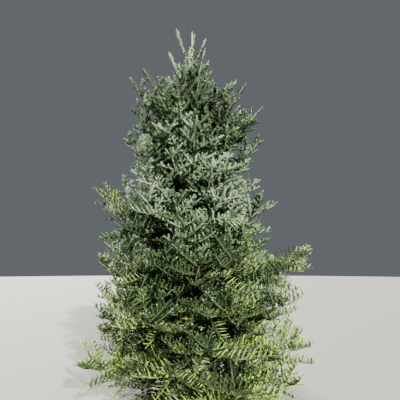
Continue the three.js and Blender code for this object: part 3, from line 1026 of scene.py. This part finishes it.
# %% [markdown]
# ## Limbs
# The trunk and the boughs are round tapering limbs. A curve with a bevel could draw one, but it
# can't swell at a collar or spread into root ridges. Here a limb starts as a filled circle whose
# face is extruded ring by ring along the limb's line, so it stays one closed skin and every ring
# can have its own outline.

# %% A limb by extrusion
def add_limb(shape, steps, sides, section):
    """section(share) gives a ring's middle, its two axes, and its radius for each angle."""
    ring = bmesh.ops.create_circle(shape, segments=sides, radius=1, cap_ends=True)["verts"]
    face = ring[0].link_faces[0]
    for step in range(steps + 1):
        middle, side, over, radius = section(step / steps)
        for k, vert in enumerate(face.verts):
            angle = 2 * math.pi * k / sides
            aside = side * math.cos(angle) + over * math.sin(angle)
            vert.co = middle + aside * radius(angle)
        if step < steps:
            grown = bmesh.ops.extrude_face_region(shape, geom=[face])["geom"]
            face = next(part for part in grown if isinstance(part, bmesh.types.BMFace))


def bark_piece(name, shape, material):
    bmesh.ops.recalc_face_normals(shape, faces=shape.faces)
    mesh = bpy.data.meshes.new(name)
    for face in shape.faces:
        face.smooth = True
    shape.to_mesh(mesh)
    shape.free()
    mesh.materials.append(material)
    piece = bpy.data.objects.new(name, mesh)
    bpy.context.scene.collection.objects.link(piece)
    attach(piece, "root")
    print(name, len(mesh.polygons), "faces")
    return piece


print("ready to extrude limbs")

# %% [markdown]
# ## Shader maths
# A procedural finish is a chain of nodes, and wiring them one by one hides the idea behind it. A
# small class that wraps a node's output lets the maths be written as ordinary maths, and one
# method adds any other node with its settings first and its sockets after.

# %% Shader maths as Python expressions
class Value:
    """One output socket, so that shader maths can be written as ordinary maths."""

    def __init__(self, recipe, socket):
        self.recipe, self.socket = recipe, socket

    def maths(self, operation, first, second):
        return self.recipe.node("ShaderNodeMath", {"operation": operation}, {0: first, 1: second})

    def __add__(self, other):
        return self.maths("ADD", self, other)

    def __sub__(self, other):
        return self.maths("SUBTRACT", self, other)

    def __rsub__(self, other):
        return self.maths("SUBTRACT", other, self)

    def __mul__(self, other):
        return self.maths("MULTIPLY", self, other)

    __radd__ = __add__
    __rmul__ = __mul__


print("sums and products of sockets: ready")

# %% A recipe of nodes
class Recipe:
    """A material's nodes. One method adds any node: its type, its settings, its sockets."""

    def __init__(self, name):
        self.material = bpy.data.materials.new(name)
        self.material.use_nodes = True
        self.tree = self.material.node_tree
        self.shader = self.tree.nodes["Principled BSDF"]

    def feed(self, socket, value):
        if isinstance(value, Value):
            self.tree.links.new(value.socket, socket)
        else:
            socket.default_value = value

    def node(self, kind, settings, sockets, output=0):
        node = self.tree.nodes.new(kind)
        for name, value in settings.items():
            setattr(node, name, value)
        for name, value in sockets.items():
            self.feed(node.inputs[name], value)
        return Value(self, node.outputs[output])

    def place(self, scale):
        spot = self.node("ShaderNodeTexCoord", {}, {}, "Object")
        return self.node("ShaderNodeMapping", {}, {"Vector": spot, "Scale": scale})

    def noise(self, scale, detail=3):
        sockets = {"Vector": self.place(scale), "Scale": 1, "Detail": detail}
        return self.node("ShaderNodeTexNoise", {}, sockets, "Fac")

    def ramp(self, value, low, high):
        """0 below low, 1 above high, and smooth between."""
        sockets = {"Value": value, "From Min": low, "From Max": high}
        return self.node("ShaderNodeMapRange", {"interpolation_type": "SMOOTHSTEP"}, sockets)

    def mix(self, share, first, second):
        colours = {6: (*first, 1) if isinstance(first, tuple) else first, 7: (*second, 1)}
        return self.node("ShaderNodeMix", {"data_type": "RGBA"}, {0: share, **colours}, 2)


print("recipes for materials: ready")

# %% [markdown]
# ## Bark
# Young fir bark is smooth, mottled grey and brown, with fine cross marks and raised resin blisters.
# The foot is darker and a little mossy, and the leader is still pale. A photo of bark would repeat
# and stretch. Noise patterns in the object's own coordinates don't, and they give the bump as well.

# %% The bark's recipe
BROWN, GREY = (0.048, 0.038, 0.028), (0.120, 0.106, 0.088)
CROSS_MARK = (0.030, 0.024, 0.019)
RESIN = (0.150, 0.125, 0.090)
MOSS = (0.022, 0.028, 0.012)
YOUNG_BARK = (0.330, 0.300, 0.210)
# How fine each pattern is along X, Y and Z, and the two values it fades between
MOTTLE_SCALE, MOTTLE_EDGES = (16, 16, 11), (0.38, 0.64)
MARK_SCALE, MARK_EDGES = (30, 30, 210), (0.58, 0.68)
BLISTER_SCALE, BLISTER_EDGES = (55, 55, 80), (0.12, 0.34)
MOSS_SCALE, MOSS_PLAY = (9, 9, 9), 0.25
GRAIN_SCALE = (120, 120, 70)
# How strongly a pattern shows in the colour, and then in the relief
MARK_SHARE, BLISTER_SHARE, MOSS_SHARE = 0.6, 0.45, 0.75
GRAIN_RELIEF, MARK_RELIEF = 0.35, 0.5
BUMP_STRENGTH, BUMP_DEPTH = 0.55, 0.002
# Dry bark, and how much glossier the resin is
BARK_ROUGHNESS, RESIN_GLOSS = 0.88, 0.25
BARK_SPECULAR = 0.3
# Between which heights the moss ends and the bark turns young, in metres
MOSS_HEIGHTS, YOUNG_HEIGHTS = (0.14, 0.42), (3.9, 4.7)


def bark_recipe():
    bark = Recipe("bark")
    mottle = bark.ramp(bark.noise(MOTTLE_SCALE), *MOTTLE_EDGES)
    marks = bark.ramp(bark.noise(MARK_SCALE, 1), *MARK_EDGES)
    cells = {"Vector": bark.place(BLISTER_SCALE), "Scale": 1}
    distance = bark.node("ShaderNodeTexVoronoi", {}, cells, "Distance")
    blister = 1 - bark.ramp(distance, *BLISTER_EDGES)
    spot = bark.node("ShaderNodeTexCoord", {}, {}, "Object")
    height = bark.node("ShaderNodeSeparateXYZ", {}, {"Vector": spot}, "Z")
    foot = 1 - bark.ramp(height + MOSS_PLAY * bark.noise(MOSS_SCALE), *MOSS_HEIGHTS)
    young = bark.ramp(height, *YOUNG_HEIGHTS)
    colour = bark.mix(mottle, BROWN, GREY)
    colour = bark.mix(marks * MARK_SHARE, colour, CROSS_MARK)
    colour = bark.mix(blister * BLISTER_SHARE, colour, RESIN)
    colour = bark.mix(foot * MOSS_SHARE, colour, MOSS)
    colour = bark.mix(young, colour, YOUNG_BARK)
    relief = bark.noise(GRAIN_SCALE) * GRAIN_RELIEF + blister - marks * MARK_RELIEF
    bump = {"Height": relief, "Strength": BUMP_STRENGTH, "Distance": BUMP_DEPTH}
    bark.feed(bark.shader.inputs["Base Color"], colour)
    bark.feed(bark.shader.inputs["Roughness"], BARK_ROUGHNESS - blister * RESIN_GLOSS)
    bark.feed(bark.shader.inputs["Normal"], bark.node("ShaderNodeBump", {}, bump))
    bark.shader.inputs["Specular IOR Level"].default_value = BARK_SPECULAR
    return bark.material


BARK = bark_recipe()
print("bark:", len(BARK.node_tree.nodes), "nodes")

# %% [markdown]
# ## Trunk
# The trunk spreads into root ridges at its foot and swells into a collar at each whorl, and its
# skin is never quite even. A bump could fake the small relief, but not the outline, so the rings
# themselves carry it. They stand closer together near the ground, where the shape changes fastest.

# %% The trunk
COLLAR_HEIGHT = 0.03
COLLAR_SWELL = 0.12
RELIEF = 0.0016
RELIEF_SCALE = 14
RELIEF_STRETCH = 0.35
THIN_TRUNK = 0.02
RING_POWER = 1.2
TRUNK_RINGS, TRUNK_SIDES = 200, 32


def collar_at(height):
    steps = ((height - whorl.height) / COLLAR_HEIGHT for whorl in WHORLS)
    return COLLAR_SWELL * sum(math.exp(-(step**2)) for step in steps)


def trunk_section(share):
    height = TREE_HEIGHT * share**RING_POWER
    swell = 1 + collar_at(height)

    def radius(angle):
        bare = trunk_radius(height, angle)
        across = (math.cos(angle) * bare, math.sin(angle) * bare)
        place = Vector((*across, RELIEF_STRETCH * height))
        rough = RELIEF * noise.noise(place * RELIEF_SCALE) * min(1, bare / THIN_TRUNK)
        return bare * swell + rough

    return trunk_middle(height), Vector((1, 0, 0)), Vector((0, 1, 0)), radius


shape = bmesh.new()
add_limb(shape, TRUNK_RINGS, TRUNK_SIDES, trunk_section)
trunk = bark_piece("bark_trunk", shape, BARK)
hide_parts("trunk")

# %% [markdown]
# ## Boughs
# A bough is thickest in its collar at the trunk and tapers to its tip. The solids of the lowest
# whorls show the bare inner third. Here every bough, main or small, gets its whole wood. They could
# be separate pieces, but nothing moves, so one joined piece is simpler.

# %% The boughs
BOUGH_ROOT = 0.0105
BOUGH_END = 0.0075
STEM_TIP = 0.003
BARE_SHARE = 1 / 3
COLLAR_LENGTH = 0.09
BOUGH_SWELL = 0.5
# Rings and sides of a main bough and of a small one
MAIN_RINGS, SMALL_RINGS = (16, 8), (9, 6)


def bough_section(bough):
    limb, tip = bough.limb, limb_end(bough)

    def section(share):
        share *= tip
        side, over = cross_axes(limb.ahead(share))
        if share < BARE_SHARE:
            radius = lerp(BOUGH_ROOT, BOUGH_END, share / BARE_SHARE)
        else:
            radius = lerp(BOUGH_END, STEM_TIP, (share - BARE_SHARE) / (tip - BARE_SHARE))
        radius *= 1 + BOUGH_SWELL * math.exp(-share * limb.reach / COLLAR_LENGTH)
        return limb.point(share), side, over, lambda angle: radius * limb.reach

    return section


shape = bmesh.new()
for bough in BOUGHS + SMALL_BOUGHS:
    limb_shape = bmesh.new()
    steps, sides = MAIN_RINGS if bough in BOUGHS else SMALL_RINGS
    add_limb(limb_shape, steps, sides, bough_section(bough))
    limb_mesh = bpy.data.meshes.new("limb")
    limb_shape.to_mesh(limb_mesh)
    limb_shape.free()
    shape.from_mesh(limb_mesh)
    bpy.data.meshes.remove(limb_mesh)
boughs = bark_piece("bark_boughs", shape, BARK)
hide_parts(*[f"bough_{bough.name}" for bough in BOUGHS if WHORLS[bough.level].bare])

# %% [markdown]
# ## Leader
# The leader is this year's shoot at the very top. Its few short needles stand singly, so that its
# pale skin shows between them. The recipe for all needles serves here too, with a wider spacing and
# a shorter span.

# %% The leader's needles
LEADER_PARTS = 6
LEADER_TONE = 1.2


def leader_shoots():
    base = TREE_HEIGHT - LEADER_LENGTH
    reach = WHORLS[TOP].reach
    owner = SimpleNamespace(level=TOP, angle=0, limb=SimpleNamespace(reach=reach))
    axes = Vector((1, 0, 0)), Vector((0, 1, 0))
    shoots = []
    for i in range(LEADER_PARTS):
        heights = (lerp(base, TREE_HEIGHT, (i + k) / LEADER_PARTS) for k in (0, 1))
        low, high = (trunk_middle(height) for height in heights)
        shoots.append(straight_shoot(owner, low, high, LEADER_TONE, axes))
    return shoots


needle_piece("needles_leader", leader_shoots(), sparse=True)

# %% [markdown]
# ## Buds
# The leader and the high boughs end in a ring of winter buds, blunt eggs of brown scales coated
# with resin. Modelled scales would be far smaller than a pixel. A small round shape, drawn out
# along its shoot and mottled by its material, is enough at five metres' height.

# %% The buds' material
DARK_SCALE, RESINY_SCALE = (0.070, 0.042, 0.022), (0.150, 0.105, 0.055)
BUD_PATTERN, BUD_EDGES = (260, 260, 260), (0.4, 0.62)
# Dark scales, and how much rougher the resiny ones are
BUD_ROUGHNESS, RESIN_ROUGHER = 0.35, 0.3


def bud_recipe():
    bud = Recipe("bud")
    scales = bud.ramp(bud.noise(BUD_PATTERN, 2), *BUD_EDGES)
    colour = bud.mix(scales, DARK_SCALE, RESINY_SCALE)
    bud.feed(bud.shader.inputs["Base Color"], colour)
    bud.feed(bud.shader.inputs["Roughness"], BUD_ROUGHNESS + scales * RESIN_ROUGHER)
    return bud.material


BUD = bud_recipe()
print("bud:", len(BUD.node_tree.nodes), "nodes")

# %% The buds
BUD_SIZE = 0.0045
BUD_RING = 0.005
BUD_WIDTH = 0.7
# How long the middle bud and the buds round it are
BUD_LENGTHS = (1.5, 1.1)
BUD_LEAN = 0.7
LEADER_BUDS = 1.3
BUD_DROP = 0.03
BUDS_ROUND = 4
BUD_LEVEL = 6
# How far up a shoot points when its buds stand round the tree's own upright
UPRIGHT_LIMIT = 0.99


def add_buds(shape, tip, ahead, size):
    upright = abs(ahead.z) >= UPRIGHT_LIMIT
    side, over = (Vector((1, 0, 0)), Vector((0, 1, 0))) if upright else cross_axes(ahead)
    turns = [None] + [2 * math.pi * k / BUDS_ROUND for k in range(BUDS_ROUND)]
    for turn in turns:
        lean = Vector() if turn is None else side * math.cos(turn) + over * math.sin(turn)
        way = (ahead + BUD_LEAN * lean).normalized()
        middle = tip + lean * (BUD_RING * size) + way * (BUD_SIZE * size)
        sizes = (BUD_WIDTH * size, BUD_WIDTH * size, BUD_LENGTHS[turn is not None] * size, 1)
        turned_up = way.to_track_quat("Z", "Y").to_matrix().to_4x4()
        matrix = Matrix.Translation(middle) @ turned_up @ Matrix.Diagonal(sizes)
        bmesh.ops.create_icosphere(shape, subdivisions=1, radius=BUD_SIZE, matrix=matrix)


shape = bmesh.new()
add_buds(shape, trunk_middle(TREE_HEIGHT - BUD_DROP), UP, LEADER_BUDS)
for bough in BOUGHS:
    if bough.level >= BUD_LEVEL:
        end = limb_end(bough)
        add_buds(shape, bough.limb.point(end), bough.limb.ahead(end), 1)
bark_piece("buds", shape, BUD)

# %% [markdown]
# ## Floor
# The tree needs something to stand on that catches its shadow. A small square would show its
# corners behind the tree, and a backdrop that curves up would need a fixed side. A plain pale round
# floor, very wide, looks the same from every side.

# %% A wide round floor
FLOOR_RADIUS = 60
FLOOR_SIDES = 128
shape = bmesh.new()
bmesh.ops.create_circle(shape, segments=FLOOR_SIDES, radius=FLOOR_RADIUS, cap_ends=True)
floor_mesh = bpy.data.meshes.new("floor")
shape.to_mesh(floor_mesh)
shape.free()
floor_mesh.materials.append(plain_material("floor_pale", (0.100, 0.100, 0.094), 0.9))
floor = bpy.data.objects.new("floor", floor_mesh)
bpy.context.scene.collection.objects.link(floor)
print("floor:", 2 * FLOOR_RADIUS, "m across")

# %% [markdown]
# ## Light
# The tree stood in low, clear autumn light from the front right. An area lamp near it would light
# the low boughs more than the top. A sun lamp lights all of it alike. A wide soft one from behind
# keeps the far side readable, and a faint cool light from all round fills the shadows.

# %% The light from all round and two suns
ROUND_COLOUR = (0.80, 0.87, 0.95, 1)
ROUND_STRENGTH = 0.16
SUN_COLOUR = (1, 0.97, 0.90)

world = bpy.data.worlds.new("studio")
bpy.context.scene.world = world
world.use_nodes = True
all_round = world.node_tree.nodes["Background"]
all_round.inputs["Color"].default_value = ROUND_COLOUR
all_round.inputs["Strength"].default_value = ROUND_STRENGTH


def sun_light(name, place, angle, strength):
    """A sun that shines from a place to the tree's foot, as wide as its angle in degrees."""
    lamp = bpy.data.lights.new(name, "SUN")
    lamp.angle, lamp.energy, lamp.color = math.radians(angle), strength, SUN_COLOUR
    piece = bpy.data.objects.new(name, lamp)
    piece.location = place
    piece.rotation_mode = "QUATERNION"
    piece.rotation_quaternion = (-Vector(place)).to_track_quat("-Z", "Y")
    bpy.context.scene.collection.objects.link(piece)
    print(name, "light from", place, "strength", strength)


sun_light("key", place=(4.6, -9.0, 4.6), angle=2, strength=40)
sun_light("back", place=(-5.0, 8.0, 6.5), angle=30, strength=24)

# %% [markdown]
# ## Camera
# The photo was taken with a phone at a standing person's eye, close to the tree and tilted up. Its
# wide lens makes the low crown look large and the top slender. A long lens from further off would
# lose that, so the camera stands where the phone did, with the same angle of view.

# %% The camera
SENSOR_WIDTH = 36
PICTURE_SIZE = 400
FOCAL_PIXELS = 295
SHIFT_PIXELS = 5
CAMERA_PLACE = (0, -3.9, 1.5)
CAMERA_TILT = 13

lens = bpy.data.cameras.new("camera")
lens.sensor_width = SENSOR_WIDTH
lens.lens = SENSOR_WIDTH * FOCAL_PIXELS / PICTURE_SIZE
lens.shift_x = SHIFT_PIXELS / PICTURE_SIZE
camera = bpy.data.objects.new("camera", lens)
camera.location = CAMERA_PLACE
camera.rotation_mode = "XYZ"
camera.rotation_euler = (math.radians(90 + CAMERA_TILT), 0, 0)
bpy.context.scene.collection.objects.link(camera)
bpy.context.scene.camera = camera
print("camera: lens", round(lens.lens, 2), "mm at", CAMERA_PLACE)
